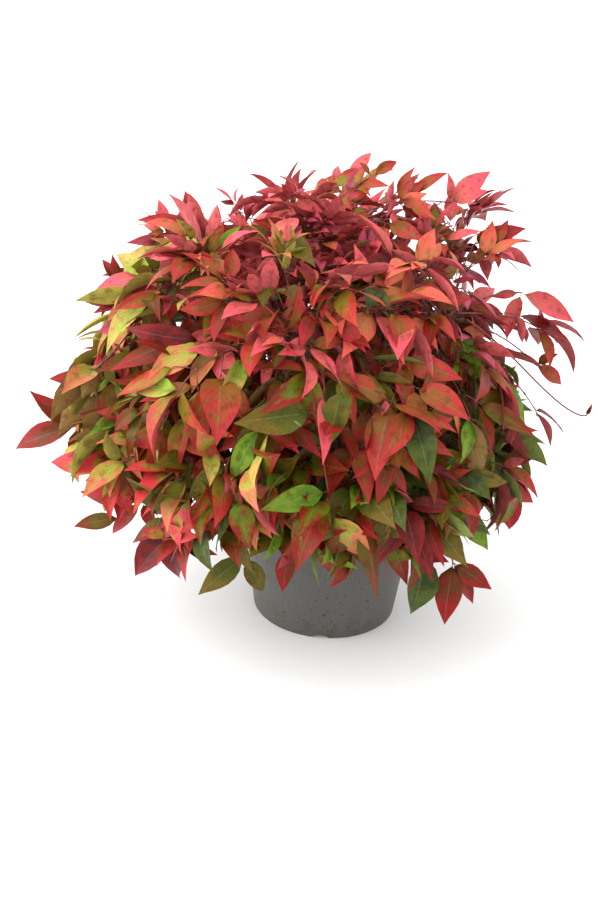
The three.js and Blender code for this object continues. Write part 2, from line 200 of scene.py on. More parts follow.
# Sprigs on wiry stalks of their own: a tint, the joint at the stalk's end, and the tips of the
# leaflets there. The first three stand for outliers. The last sixteen lie at the crown's front, and
# the others stand clear of it.
SPRIGS = [
    ("scarlet", (-223, -40, 177), [(-260, -46, 210), (-286, -36, 150), (-217, -50, 139)]),
    ("olive", (-64, -125, 110), [(-103, -132, 74), (-47, -128, 77), (-83, -118, 122)]),
    ("scarlet", (100, -120, 115), [(98, -128, 59), (123, -112, 73), (134, -124, 95)]),
    ("scarlet", (-210, -30, 216), [(-248, -36, 218)]),
    ("rose", (147, 0, 308), [(198, 8, 284), (136, -14, 270), (120, 6, 302)]),
    ("cherry", (103, 0, 345), [(113, -4, 360), (128, 4, 361), (145, 0, 362)]),
    ("coral", (16, 10, 393), [(37, 16, 407), (4, 6, 405)]),
    ("rose", (80, 0, 377), [(76, -8, 402), (111, 6, 405), (110, -4, 390)]),
    ("cherry", (-131, 0, 350), [(-176, -8, 351), (-136, 4, 376)]),
    ("scarlet", (-190, 0, 294), [(-209, 6, 315), (-197, -6, 321), (-216, 0, 279)]),
    ("coral", (167, 0, 247), [(198, 8, 228), (184, -8, 261)]),
    ("scarlet", (137, -40, 182), [(168, -46, 187), (159, -34, 162)]),
    ("cherry", (146, -40, 153), [(178, -34, 132), (160, -48, 108)]),
    ("deep_green", (77, -125, 125), [(71, -132, 66)]),
    ("cherry", (-5, -130, 147), [(-42, -136, 104), (10, -126, 93)]),
    ("scarlet", (-31, -125, 120), [(-33, -130, 80)]),
    ("turning", (43, -130, 149), [(66, -134, 98), (38, -124, 104)]),
    ("cherry", (-162, -60, 120), [(-192, -64, 84), (-148, -70, 96), (-222, -52, 122)]),
    ("bronze", (-178, -70, 108), [(-222, -74, 98)]),
    ("wine", (-122, -110, 122), [(-160, -116, 76), (-124, -104, 66)]),
    ("green", (-2, -186, 199), [(-48, -200, 188)]),
    ("olive", (-14, -188, 257), [(-68, -198, 249)]),
    ("olive", (3, -186, 275), [(-5, -198, 234)]),
    ("green", (-51, -182, 242), [(-71, -192, 202)]),
    ("green", (25, -176, 208), [(23, -184, 180)]),
    ("green", (0, -160, 186), [(0, -166, 156)]),
    ("olive", (-45, -89, 351), [(-22, -120, 343)]),
    ("olive", (-55, -118, 331), [(-56, -147, 317)]),
    ("bronze", (-32, -122, 330), [(-38, -149, 317)]),
    ("deep_green", (22, -111, 328), [(17, -140, 317), (33, -133, 318)]),
    ("rose", (-45, -53, 366), [(-50, -102, 354)]),
    ("cherry", (-22, -140, 313), [(-27, -167, 294)]),
    ("cherry", (-10, -136, 315), [(18, -161, 292)]),
    ("coral", (37, -119, 314), [(43, -158, 282)]),
    ("scarlet", (69, -101, 309), [(87, -74, 326), (60, -141, 292)]),
    ("scarlet", (37, -175, 221), [(14, -194, 214), (33, -191, 192), (55, -182, 197)]),
]
SPRIG_SEED = 3000
SPRIG_RADII = (0.62, 0.62)
SPRIG_STEPS = 14
SPRIG_ROOT = 0.9  # where along the mass's stem it starts
SPRIG_BEND = 0.6
SPRIG_RISE = 0.15
SPRIG_WIDTH = 0.4
SPRIG_PLAY = 0.4
SPRIG_FACING = (-0.8, 0.5)  # its leaflets' upper sides look to the front and up

# A long stalk that has shed all but one small dry leaflet.
BARE_STALK = [(94, -76, 300), (150, -30, 262), (180, -12, 214), (214, -8, 202), (216, -8, 208)]
BARE_STALK_RADII = (0.75, 0.75)
BARE_STALK_STEPS = 16
BARE_STALK_MASS = "upper_1"
DRY_LEAF = {"way": Vector((0.2, 0, 0.98)), "up": Vector((-0.4, -0.9, 0.1)), "tint": "wine", "tile": 0}
DRY_LEAF.update(length=12, width=4, bend=1.6, fold=0.8, twist=1.2, wave=0.1)

# Rings of canes and masses: count, first angle, then radius and height for the middle of a mass's
# space, for the end of its stem and for the tip of its cane, and how far out the cane stands.
RINGS = {
    "top": (1, 0, (0, 425), (0, 352), (0, 290), 0),
    "upper": (5, -math.pi / 10, (185, 285), (128, 296), (72, 262), 16),
    "lower": (8, math.pi / 8, (105, 140), (128, 176), (70, 168), 36),
}
CANE_SEED = 11
CANE_RADII = (3.4, 2.4)  # at its foot and at its tip
CANE_FLARE = 1.45
CANE_FLARE_END = 0.05  # the share of its length over which a cane's foot is flared
CANE_BEND = 0.4
CANE_SIDES = 18
CANE_MEASURES = 20  # steps by which its length is measured
CANE_STEP = 1.6  # spacing of its rings of points
CANE_RIDGE = 0.055
CANE_ROUGH = 0.03
NODE_SPACING = 15  # between the ring scars that old leaves left
NODE_LENGTH = 2.5
NODE_SWELL = 0.15

# Twigs: stem, leaf stalk, side twig and leaflet stalk.
TWIG_SIDES = 5
STEM_RADII = (2.3, 1.4)  # at its foot and at its end
STEM_BARE = 0.2
STEM_STEPS = 8
STALK_RADII = (1.0, 0.5)
STALK_BEND = 0.38
STALK_STEP = 9  # spacing of a stalk's rings of points
STALK_STEPS = 6  # and how many steps it has at least
JOINT_SPACINGS = (25, 15)  # between the pairs of side twigs, on old stalks and on young ones
JOINT_FIRST = 0.3  # the share of a leaf stalk that stays bare
JOINTS = 8
JOINT_AHEAD = 0.02  # how far ahead its way at a joint is read, as a share of it
JOINT_REACH = 2.2
JOINT_RADII = (0.6, 1.15, 0.6)
TWIG_RADIUS = 0.42
TWIG_TURN = (0.6, 1.2)
TWIG_LIFT = (-0.3, 0.45)
TWIG_LENGTH = (8, 14)
TWIG_GROWTH = 4  # how much longer it is for each joint further back, up to so many
TWIG_GROWTH_JOINTS = 4
TWIG_ARCH = 1.2
LEAFSTALK = 4
LEAFSTALK_RADIUS = 0.36

# Trios: a leaflet at the end and a pair behind it, or two pairs on young sprays.
SPRAY_SEED = 1000
YOUNG = (0.5, 0.95)  # the heights in the crown between which leaves turn young and small
TWO_PAIRS = 0.5  # how young a spray has two pairs
PAIR_BACK = 1
PAIR_SPACING = 9
PAIR_GAPS = 0.06
PAIR_TURN = (0.7, 1.6)
TRIO_ROLL = 0.4
TRIO_SIZE = (0.75, 1.0)  # of a side twig's trio
END_SIZE = (0.9, 1.15)  # of the leaflet at a trio's end
PAIR_SIZE = (0.65, 1.0)  # of those behind it

# Leaflets: pointed blades, larger and more drooping down the crown's sides.
LEAF_LENGTHS = (47, 31)  # on old sprays and on young ones
LEAF_SPREAD = 0.22
LEAF_WIDTHS = (0.41, 0.36)
LEAF_ROLL = 0.55
LEAF_SAG = 0.08  # how far a young leaflet is drawn down
LEAF_SAG_OLD = 0.5  # and how much further an old one
LEAF_SAG_PLAY = (0.0, 1.5)
LEAF_DIP = -0.4  # the least that a leaflet is lifted out of its spray's plane
LEAF_LIFT = 0.5  # and the most, in the lower crown
LEAF_LIFT_TOP = 0.35  # and how much less that is at the top
LEAF_SUNK = 0.4  # how far a blade's root is sunk in its stalk
BLADE_PLAY = {  # the width is a share of what is usual for a blade of its length
    "width": (0.75, 1.25),
    "bend": (0.2, 1.1),
    "fold": (0.05, 0.75),
    "twist": (-0.55, 0.55),
    "wave": (-0.14, 0.14),
}
LEAF_THICKNESS = 0.35
LEAF_ROUND = 0.8  # how round a blade is towards its stalk
LEAF_POINT = 1.35  # how far it is drawn out towards its tip
LEAF_BROADEST = LEAF_ROUND / (LEAF_ROUND + LEAF_POINT)
LEAF_PEAK = LEAF_BROADEST**LEAF_ROUND * (1 - LEAF_BROADEST) ** LEAF_POINT
LEAF_NECK = 0.05  # the share of its half width that a blade has at its stalk
LEAF_RISE = 0.35  # the share of its bend by which it rises from its stalk
LEAF_CUP = 0.35  # how far its sides curve back down
LEAF_WAVES = 7  # radians of the wave along it
LEAF_WAVE_SHIFT = 9
LEAF_ROWS = 8
LEAF_ACROSS = (-1, -0.5, 0, 0.5, 1)
LOWEST_LEAF = 66  # beside the pot
LOWEST_SPREAD = 56  # how much higher some sprays stop
LOWEST_OUTLIER = 20  # and where the outlying ones stop
LOWEST_RISE = 0.38  # how steeply the crown's underside rises away from the pot
LOWEST_FROM = 112
SHORT_SHARE = 0.3  # how often a leaflet stops above its spray's underside
SHORT_RISE = 12
POT_MARGIN = 1.5

# Tints: how a leaflet is coloured at its stalk and at its tip, where in the crown its sprays are
# (from -1 left to 1 right, from -0.4 at the skirt to 1 at the top) and what share it has.
TINTS = {
    "rose": ((0.73, 0.35, 0.31), (0.83, 0.30, 0.35), (-0.1, 0.95), 2.4),
    "dusk": ((0.56, 0.27, 0.27), (0.68, 0.26, 0.35), (0.2, 0.9), 0.8),
    "salmon": ((0.70, 0.43, 0.25), (0.82, 0.34, 0.28), (0.3, 0.85), 0.7),
    "coral": ((0.48, 0.31, 0.11), (0.64, 0.165, 0.17), (0.3, 0.5), 2.2),
    "cherry": ((0.44, 0.19, 0.08), (0.61, 0.12, 0.16), (-0.4, -0.45), 1.6),
    "scarlet": ((0.34, 0.18, 0.04), (0.52, 0.08, 0.085), (0.2, 0.15), 1.8),
    "flame": ((0.47, 0.43, 0.12), (0.65, 0.18, 0.16), (0.0, 0.5), 0.9),
    "amber": ((0.56, 0.57, 0.20), (0.74, 0.39, 0.28), (-0.9, 0.45), 1.6),
    "blush": ((0.55, 0.46, 0.17), (0.76, 0.19, 0.23), (-0.9, -0.3), 3.4),
    "lime": ((0.52, 0.62, 0.21), (0.71, 0.60, 0.31), (-1.1, 0.48), 2.8),
    "turning": ((0.31, 0.40, 0.05), (0.48, 0.095, 0.075), (0.0, -0.05), 2.4),
    "bronze": ((0.32, 0.29, 0.05), (0.43, 0.16, 0.07), (0.0, 0.05), 1.4),
    "olive": ((0.25, 0.29, 0.05), (0.38, 0.31, 0.08), (0.1, -0.05), 1.2),
    "green": ((0.28, 0.41, 0.07), (0.41, 0.51, 0.12), (0.2, -0.3), 2.2),
    "deep_green": ((0.15, 0.21, 0.06), (0.26, 0.31, 0.10), (0.6, -0.3), 1.2),
    "wine": ((0.28, 0.08, 0.06), (0.44, 0.08, 0.09), (0.4, 0.1), 0.8),
}
SAME_TINT = 0.52  # how often a leaflet keeps the tint of its spray
TINT_WIDE = 0.48  # how far from its home a tint spreads sideways
TINT_HIGH = 0.34  # and up and down
TINT_STRAY = 0.008  # its share of the crown far from its home
GREENS = ("olive", "green", "deep_green", "turning")
GREEN_GAIN = 20  # how much more of them there are, the deeper within a reach
GREEN_REACH = 0.94
GREEN_TO = (0.45, 0.95)  # the heights between which that fades out

# The paler undersides, and the tints that each of them goes with.
REDS = ("rose", "dusk", "salmon", "coral", "cherry", "scarlet", "flame", "wine")
UNDERSIDES = {
    "pale_rose": ((0.76, 0.35, 0.36), REDS),
    "pale_bronze": ((0.58, 0.46, 0.27), ("blush", "turning", "bronze")),
    "pale_green": ((0.48, 0.54, 0.28), ("olive", "green", "deep_green")),
    # The underside of amber and lime leaves: partly its own paler tone, partly painted light that
    # shines through the leaf from behind.
    "lime_underside_lit_through": ((0.70, 0.68, 0.33), ("amber", "lime")),
}
UNDERSIDE_STALK = 0.9  # how much darker they are at the stalk

# The midrib's colour: a share of the blade's, and what is added to it.
VEIN = (0.6, 0.3)
UNDERSIDE_VEIN = (0.8, 0.15)

# The leaflets' map: a square of tiles each way, some of them for each tint.
LEAF_MAP = "OFBake"
MAP_TILES = 9
TILES_A_TINT = 4
TILE_MARGIN = 0.03


# --- Helpers ---


def stream(seed):
    """The solids' own stream of numbers from 0 to 1."""
    state = (seed + SEED) * 2654435761 % STREAM_STATES
    while True:
        state = (state * 1664525 + 1013904223) % STREAM_STATES
        yield state / STREAM_STATES


def mix(first, second, share):
    return first + (second - first) * share


def clamp(value):
    return max(0, min(1, value))


def between(value, low, high):
    """A value's place between two limits, from 0 to 1."""
    return clamp((value - low) / (high - low))


def turned(vector, axis, angle):
    """A copy of a vector, turned about an axis."""
    copy = vector.copy()
    copy.rotate(Quaternion(axis, angle))
    return copy


def around(radius, angle, height, middle=0):
    """A point round an upright line, which stands at the origin or to one side of it."""
    return Vector((middle + radius * math.cos(angle), radius * math.sin(angle), height))


def in_crown(point):
    """A point's place in the crown, as a share of its reach to the right, to the back and up."""
    return (point.x - CROWN_X) / CROWN_ACROSS, point.y / CROWN_DEEP, (point.z - CROWN_Z) / CROWN_UP


def bezier(points, share):
    """A point on a Bezier curve, by repeated division of its frame of points."""
    while len(points) > 1:
        points = [a.lerp(b, share) for a, b in zip(points, points[1:])]
    return points[0]


def points_along(curve, steps):
    return [bezier(curve, i / steps) for i in range(steps + 1)]


def new_object(name, data):
    made = bpy.data.objects.new(name, data)
    bpy.context.scene.collection.objects.link(made)
    return made


def mesh_piece(name, points, faces, materials, smooth=True):
    """A piece from points in millimetres and faces given as tuples of point numbers."""
    mesh = bpy.data.meshes.new(name)
    mesh.from_pydata([tuple(c * MM for c in p) for p in points], [], faces)
    for material in materials:
        mesh.materials.append(material)
    mesh.polygons.foreach_set("use_smooth", [smooth] * len(mesh.polygons))
    mesh.update()
    return new_object(name, mesh)


def settle(piece, slot, *nodes):
    """Every piece rides on the one body and stands for its nodes. Its slot is not used."""
    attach(piece, "root")
    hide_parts(*nodes)


class Tubes:
    """Round limbs along lists of points, gathered for one mesh."""

    def __init__(self, sides):
        self.sides = sides
        self.points = []
        self.faces = []

    def add(self, path, radii):
        first = len(self.points)
        along = [b - a for a, b in zip(path, path[1:])]
        along.append(along[-1])
        side = along[0].orthogonal().normalized()
        for at, way, radius in zip(path, along, radii):
            line = way.normalized()
            side = (side - line * side.dot(line)).normalized()
            top = line.cross(side)
            for k in range(self.sides):
                turn = 2 * math.pi * k / self.sides
                self.points.append(at + (side * math.cos(turn) + top * math.sin(turn)) * radius)
        last = first + (len(path) - 1) * self.sides
        for near in range(first, last, self.sides):
            self.faces += band_faces(near, near + self.sides, self.sides)
        self.faces.append(tuple(range(first + self.sides - 1, first - 1, -1)))
        self.faces.append(tuple(range(last, last + self.sides)))

    def piece(self, name, material):
        return mesh_piece(name, self.points, self.faces, [material])


def band_faces(near, far, sides):
    """The faces between two rings of points, by the number of each ring's first point."""
    steps = [(k, (k + 1) % sides) for k in range(sides)]
    return [(near + k, near + k2, far + k2, far + k) for k, k2 in steps]


# --- Node materials ---


class Shader:
    """A material's node tree, with short calls for the nodes that it needs."""

    def __init__(self, name, roughness, **sockets):
        self.material = bpy.data.materials.new(name)
        self.material.use_nodes = True
        self.tree = self.material.node_tree
        self.surface = self.tree.nodes["Principled BSDF"]
        self.surface.inputs["Roughness"].default_value = roughness
        for socket, value in sockets.items():
            self.surface.inputs[socket.replace("_", " ")].default_value = value

    def fill(self, socket, value):
        """Links another node's output to a socket, or sets a plain value on it."""
        if isinstance(value, bpy.types.NodeSocket):
            self.tree.links.new(value, socket)
        else:
            socket.default_value = value

    def node(self, kind, values=None, **settings):
        node = self.tree.nodes.new(kind)
        for key, value in settings.items():
            setattr(node, key, value)
        for socket, value in (values or {}).items():
            self.fill(node.inputs[socket], value)
        return node

    def maths(self, operation, *values):
        values = dict(enumerate(values))
        return self.node("ShaderNodeMath", values, operation=operation).outputs[0]

    def scaled(self, vector, *by):
        values = {0: vector, 1: by}
        return self.node("ShaderNodeVectorMath", values, operation="MULTIPLY").outputs[0]

    def noise(self, vector, scale, detail, roughness=0.5):
        values = {"Vector": vector, "Scale": scale, "Detail": detail, "Roughness": roughness}
        return self.node("ShaderNodeTexNoise", values).outputs["Fac"]

    def between(self, value, low, high, to_low=0.0, to_high=1.0):
        """The value's place between two limits, eased, as a number between two others."""
        values = dict(enumerate((value, low, high, to_low, to_high)))
        return self.node("ShaderNodeMapRange", values, interpolation_type="SMOOTHSTEP").outputs[0]

    def blend(self, share, first, second):
        """A mix of two colours, each given as it looks on a screen or as another node's output."""
        node = self.node("ShaderNodeMix", {0: share}, data_type="RGBA")
        for number, colour in ((6, first), (7, second)):
            if isinstance(colour, tuple):
                colour = (*linear(colour), 1)
            self.fill(node.inputs[number], colour)
        return node.outputs[2]

    def place(self):
        """The object's own coordinates, in millimetres."""
        spot = self.node("ShaderNodeTexCoord").outputs["Object"]
        return self.scaled(spot, *[1 / MM] * 3)

    def finish(self, colour, height, depth, strength=1.0):
        """The finished material, from its colour and a relief of a height and a depth in metres."""
        self.fill(self.surface.inputs["Base Color"], colour)
        relief = {"Height": height, "Distance": depth, "Strength": strength}
        self.fill(self.surface.inputs["Normal"], self.node("ShaderNodeBump", relief).outputs[0])
        return self.material


def linear(colour):
    """A colour given as it looks on a screen, as the light that a shader reckons in."""
    return tuple(c / 12.92 if c <= 0.04045 else ((c + 0.055) / 1.055) ** 2.4 for c in colour)


def pot_material():
    """Matt grey moulded plastic: a fine grain, paler scuffs, specks and smears of dried mix, and a
    painted highlight and painted shadow at the band's foot.
    """
    s = Shader("pot_plastic", 0.5, Specular_IOR_Level=0.4)
    place = s.place()
    cloud = s.noise(place, 0.02, 4)
    height = s.node("ShaderNodeSeparateXYZ", {0: place}).outputs["Z"]
    grey = s.blend(cloud, POT_GREY, POT_PALE)
    grey = s.blend(s.between(s.noise(place, 0.35, 6, 0.7), 0.56, 0.72, 0, 0.35), grey, SCUFF)
    # A painted highlight along the band's foot, and a painted shadow just under it.
    for (start, full, fade, end), line in BAND_HIGHLIGHT_AND_SHADOW:
        near = s.maths("MULTIPLY", s.between(height, start, full), s.between(height, end, fade))
        grey = s.blend(s.maths("MULTIPLY", near, 0.6), grey, line)
    low = s.between(height, 34, 0, 0, 0.6)
    smear = s.maths("MULTIPLY", low, s.between(s.noise(place, 0.06, 5, 0.65), 0.45, 0.65))
    grey = s.blend(smear, grey, SMEAR)
    speck = s.between(s.noise(place, 0.42, 2, 0.4), 0.66, 0.71)
    near = s.between(height, POT_HEIGHT, 10, 0.35, 1)
    grey = s.blend(s.maths("MULTIPLY", speck, near), grey, SPECK)
    s.fill(s.surface.inputs["Roughness"], s.maths("MULTIPLY_ADD", cloud, 0.2, 0.42))
    return s.finish(grey, s.noise(place, 2.6, 2), 0.0003, 0.35)


def soil_material():
    """Dark peat with paler fibres and bits of bark."""
    s = Shader("potting_mix", 0.95, Specular_IOR_Level=0.2)
    place = s.place()
    peat = s.blend(s.noise(place, 0.25, 6, 0.7), PEAT, PEAT_PALE)
    fibre = s.between(s.noise(place, 1.1, 3, 0.6), 0.62, 0.72)
    return s.finish(s.blend(fibre, peat, FIBRE), s.noise(place, 0.8, 6, 0.7), 0.0012)


def bark_material():
    """Brown bark in fine ridges, paler on the ridges and darker in the furrows."""
    s = Shader("cane_bark", 0.75, Specular_IOR_Level=0.3)
    place = s.place()
    ridge = s.noise(s.scaled(place, 1, 1, 0.12), 1.3, 4, 0.6)
    bark = s.blend(s.noise(place, 0.08, 3), s.blend(ridge, FURROW, RIDGE), BARK_RED)
    return s.finish(bark, ridge, 0.0006)


def twig_material():
    """Wiry stalks, from wine red to brown."""
    s = Shader("leaf_stalks", 0.45)
    place = s.place()
    wine = s.blend(s.noise(place, 0.03, 3), STALK_WINE, STALK_BROWN)
    return s.finish(wine, s.noise(place, 1.5, 2), 0.0002)


def leaf_material(name, at_stalk, at_tip, vein):
    """A satin blade whose colour turns from stalk to tip and edge in blotches, with a pale midrib and
    spots of painted sheen.
    """
    s = Shader("leaf_" + name, 0.42, Specular_IOR_Level=0.14)
    spot = s.node("ShaderNodeUVMap", uv_map=LEAF_MAP).outputs[0]
    spot = s.scaled(spot, MAP_TILES, MAP_TILES, 1)
    within = s.node("ShaderNodeVectorMath", {0: spot}, operation="FRACTION").outputs[0]
    across, along, _ = s.node("ShaderNodeSeparateXYZ", {0: within}).outputs
    aside = s.maths("ABSOLUTE", s.maths("SUBTRACT", across, 0.5))
    spot = s.scaled(spot, 0.5, 1, 1)
    blotch = s.maths("MULTIPLY_ADD", s.noise(spot, 2.8, 7, 0.7), 3.4, -1.75)
    turning = s.maths("ADD", s.maths("MULTIPLY_ADD", aside, 0.5, along), blotch)
    blade = s.blend(s.between(turning, 0.15, 0.85), at_stalk, at_tip)
    patch = s.between(s.noise(spot, 5.0, 4, 0.65), 0.50, 0.64, 0, 0.62)
    blade = s.blend(patch, blade, (0.62 * at_tip[0], 0.58 * at_stalk[1], 0.5 * at_stalk[2]))
    # Pale spots, lighter copies of the tip colour: a painted sheen.
    pale = s.between(s.noise(spot, 3.7, 4, 0.6), 0.42, 0.30, 0, 0.42)
    blade = s.blend(pale, blade, tuple(min(1, 1.2 * c) for c in at_tip))
    rows = s.maths("SINE", s.maths("MULTIPLY", s.maths("MULTIPLY_ADD", aside, -0.9, along), 56.0))
    veins = s.maths("MULTIPLY_ADD", rows, 0.07, 0.07)
    blade = s.blend(veins, blade, (0.45 * at_tip[0], 0.3 * at_tip[1], 0.3 * at_tip[2]))
    blade = s.blend(s.between(aside, 0.035, 0.01, 0, 0.22), blade, vein)
    quilt = s.maths("MULTIPLY_ADD", s.noise(spot, 9.0, 2), 1.2, s.maths("MULTIPLY", aside, -2.0))
    return s.finish(blade, s.maths("MULTIPLY_ADD", rows, 0.12, quilt), 0.0004, 0.5)


# --- Pot ---


def lathe(profile, sides):
    """Points and faces of a turned shape whose profile starts and ends on the axis."""
    rings = profile[1:-1]
    points = [(0, 0, profile[0][1])]
    for radius, height in rings:
        for k in range(sides):
            turn = 2 * math.pi * k / sides
            points.append((radius * math.cos(turn), radius * math.sin(turn), height))
    points.append((0, 0, profile[-1][1]))
    faces = []
    last = len(points) - 1
    for k in range(sides):
        k2 = (k + 1) % sides
        faces.append((0, 1 + k2, 1 + k))
        for near in range(1, last - sides, sides):
            faces.append((near + k, near + k2, near + sides + k2, near + sides + k))
        faces.append((last - sides + k, last - sides + k2, last))
    return points, faces


def wall(height):
    """The shell's radius below its band."""
    return FOOT_RADIUS + TAPER * height


def band(height):
    return wall(height) + BAND_STEP


def inside(height):
    """The potting mix's radius below the band."""
    return wall(height) - WALL - 2 * CLEARANCE


def corner(radius, height, steps):
    return [(radius + out, height + up) for out, up in steps]


def make_pot():
    """The moulded shell: rounded foot, wider band, beaded lip and arched drain holes."""
    profile = [(0, 0)] + corner(FOOT_RADIUS, 0, FOOT_CORNER)
    profile += [(wall(height), height) for height in WALL_RINGS]
    profile += corner(wall(BAND_FOOT), BAND_FOOT, BAND_CORNER) + [(band(BAND_RING), BAND_RING)]
    profile += corner(band(LIP_FOOT), LIP_FOOT, UNDER_LIP) + corner(LIP_RADIUS, POT_HEIGHT, LIP_CORNER)
    profile += corner(band(POT_HEIGHT) - WALL, POT_HEIGHT, INNER_CORNER)
    profile += [(band(BAND_FOOT) - WALL, BAND_FOOT + BAND_STEP), (wall(BAND_FOOT) - WALL, BAND_FOOT)]
    profile += [(wall(POT_FLOOR) - WALL, POT_FLOOR), (0, POT_FLOOR)]
    pot = mesh_piece("pot_shell", *lathe(profile, POT_SIDES), [pot_material()])
    arches = drain_arches()
    cut = pot.modifiers.new("drains", "BOOLEAN")
    cut.object = arches
    cut.solver = "EXACT"
    seen = pot.evaluated_get(bpy.context.evaluated_depsgraph_get())
    mesh = bpy.data.meshes.new_from_object(seen)
    pot.modifiers.clear()
    pot.data = mesh
    bpy.data.objects.remove(arches)
    sharpen(mesh)
    settle(pot, "pot", "pot")


def drain_arches():
    """Round arches, each as wide and as high as a drain hole, lying across the foot's edge."""
    radius = ((DRAIN_WIDTH / 2) ** 2 + DRAIN_HEIGHT**2) / (2 * DRAIN_HEIGHT)
    sizes = {"radius1": radius * MM, "radius2": radius * MM, "depth": 2 * DRAIN_INSET * MM}
    lie = Matrix.Rotation(math.pi / 2, 4, "Y")
    at = Matrix.Translation((FOOT_RADIUS * MM, 0, (DRAIN_HEIGHT - radius) * MM))
    shape = bmesh.new()
    for i in range(DRAINS):
        way = Matrix.Rotation(i / DRAINS * 2 * math.pi - math.pi / 2, 4, "Z") @ at @ lie
        bmesh.ops.create_cone(shape, cap_ends=True, segments=DRAIN_SIDES, matrix=way, **sizes)
    mesh = bpy.data.meshes.new("arches")
    shape.to_mesh(mesh)
    shape.free()
    return new_object("arches", mesh)


def sharpen(mesh):
    """Smooth shading that breaks at the sharp edges."""
    shape = bmesh.new()
    shape.from_mesh(mesh)
    limit = math.radians(SHARP_ANGLE)
    for edge in shape.edges:
        edge.smooth = len(edge.link_faces) == 2 and edge.calc_face_angle() < limit
    shape.to_mesh(mesh)
    shape.free()
    mesh.polygons.foreach_set("use_smooth", [True] * len(mesh.polygons))
    mesh.update()


def make_soil():
    """The potting mix: a crumbly top in the pot's shape, with bits of bark lying on it."""
    top = inside(SOIL_TOP) + BAND_STEP
    profile = [(0, POT_FLOOR + CLEARANCE), (inside(POT_FLOOR), POT_FLOOR + CLEARANCE)]
    profile += [(inside(BAND_FOOT), BAND_FOOT)]
    profile += [(inside(BAND_FOOT) + BAND_STEP, BAND_FOOT + 2 * BAND_STEP), (top, SOIL_TOP - SOIL_EDGE)]
    profile += [(top * (SOIL_RINGS - i) / (SOIL_RINGS + 1), SOIL_TOP) for i in range(SOIL_RINGS)]
    points, faces = lathe(profile + [(0, SOIL_TOP)], POT_SIDES)
    draw = random.Random(SOIL_SEED)
    points = [(x, y, z + draw.uniform(*SOIL_ROUGH) if z == SOIL_TOP else z) for x, y, z in points]
    for _ in range(CRUMBS):
        radius = (top - CRUMB_MARGIN) * math.sqrt(draw.random())
        turn = draw.uniform(0, 2 * math.pi)
        add_crumb(points, faces, around(radius, turn, SOIL_TOP - CRUMB_SUNK), draw)
    soil = mesh_piece("potting_mix", points, faces, [soil_material()], smooth=False)
    settle(soil, "soil", "soil")


def add_crumb(points, faces, at, draw):
    """One bit of bark: a flat eight-cornered block, each corner moved a little."""
    first = len(points)
    size = [draw.uniform(*limits) for limits in CRUMB_SIZES]
    turn = Quaternion(UP, draw.uniform(0, math.pi))
    turn = turn @ Quaternion((1, 0, 0), draw.uniform(-CRUMB_TILT, CRUMB_TILT))
    for signs in ((x, y, z) for z in (-1, 1) for y in (-1, 1) for x in (-1, 1)):
        block = Vector([sign * half for sign, half in zip(signs, size)]) * draw.uniform(CRUMB_WEAR, 1)
        points.append(tuple(at + turn @ block))
    sides = [(0, 2, 3, 1), (4, 5, 7, 6), (0, 1, 5, 4), (2, 6, 7, 3), (0, 4, 6, 2), (1, 3, 7, 5)]
    faces.extend(tuple(first + p for p in side) for side in sides)


# --- Canes and masses ---


def make_masses():
    """Every mass: its ring, the middle of its space, its stem's ends and line, and its cane's curve."""
    masses = []
    for ring, (count, first, space, heart, tip, foot) in RINGS.items():
        for i in range(count):
            angle = first + i / count * 2 * math.pi
            space_at, heart_at, tip_at = (
                around(radius, angle, height, CROWN_X) for radius, height in (space, heart, tip)
            )
            ground = around(foot, angle, SOIL_TOP + CLEARANCE)
            way = (heart_at - tip_at).normalized()
            bend = CANE_BEND * (tip_at - ground).length
            mass = {"ring": ring, "name": f"{ring}_{i + 1}" if count > 1 else ring}
            mass["curve"] = [ground, ground + UP * bend, tip_at - way * bend, tip_at]
            mass.update(space=space_at, heart=heart_at, tip=tip_at, way=way, stalks=[], sprigs=[])
            masses.append(mass)
    return masses


def make_canes(masses):
    """Ridged canes with the ring scars of old leaves, each from a flared foot on the mix."""
    canes = Tubes(CANE_SIDES)
    draw = random.Random(CANE_SEED)
    for mass in masses:
        rough = points_along(mass["curve"], CANE_MEASURES)
        length = sum((b - a).length for a, b in zip(rough, rough[1:]))
        steps = round(length / CANE_STEP)
        phase = draw.uniform(0, NODE_SPACING)
        path = points_along(mass["curve"], steps)
        first = len(canes.points)
        canes.add(path, [cane_radius(i / steps, length, phase) for i in range(steps + 1)])
        for i in range(first, len(canes.points)):
            at = path[(i - first) // CANE_SIDES]
            ridge = CANE_RIDGE if (i - first) % CANE_SIDES % 2 else -CANE_RIDGE
            furrow = 1 + ridge + draw.uniform(-CANE_ROUGH, CANE_ROUGH)
            canes.points[i] = at + (canes.points[i] - at) * furrow
    nodes = ["cane_" + mass["name"] for mass in masses]
    settle(canes.piece("canes", bark_material()), "cane", *nodes)


def cane_radius(share, length, phase):
    """The solids' taper and flare, with a swelling at every ring scar."""
    flare = 1 + (CANE_FLARE - 1) * max(0, 1 - share / CANE_FLARE_END)
    past = (share * length + phase) % NODE_SPACING
    swell = 1 + NODE_SWELL * max(0, 1 - past / NODE_LENGTH)
    return mix(*CANE_RADII, share) * flare * swell


# --- Leaf stalks ---


def stalk_at(number, end):
    """The solids' leaf stalk by where it ends: the line that its spray follows, and its upper side."""
    outward = Vector(in_crown(end))
    reach = outward.length
    outward.normalize()
    draws = stream(number)
    turn, tilt, roll = (next(draws) - 0.5 for _ in range(3))
    angle = math.atan2(outward.y, outward.x) + turn * TURN_PLAY
    rise = PITCH_TOP * outward.z**3 - PITCH_SIDE * (1 - outward.z) ** 0.75
    pitch = rise + tilt * PITCH_PLAY
    away = around(1, angle, 0)
    line = away * math.cos(pitch) + UP * math.sin(pitch)
    up = turned(away * -math.sin(pitch) + UP * math.cos(pitch), line, roll * ROLL_PLAY)
    return {"number": number, "end": end, "line": line, "up": up, "height": outward.z, "reach": reach}


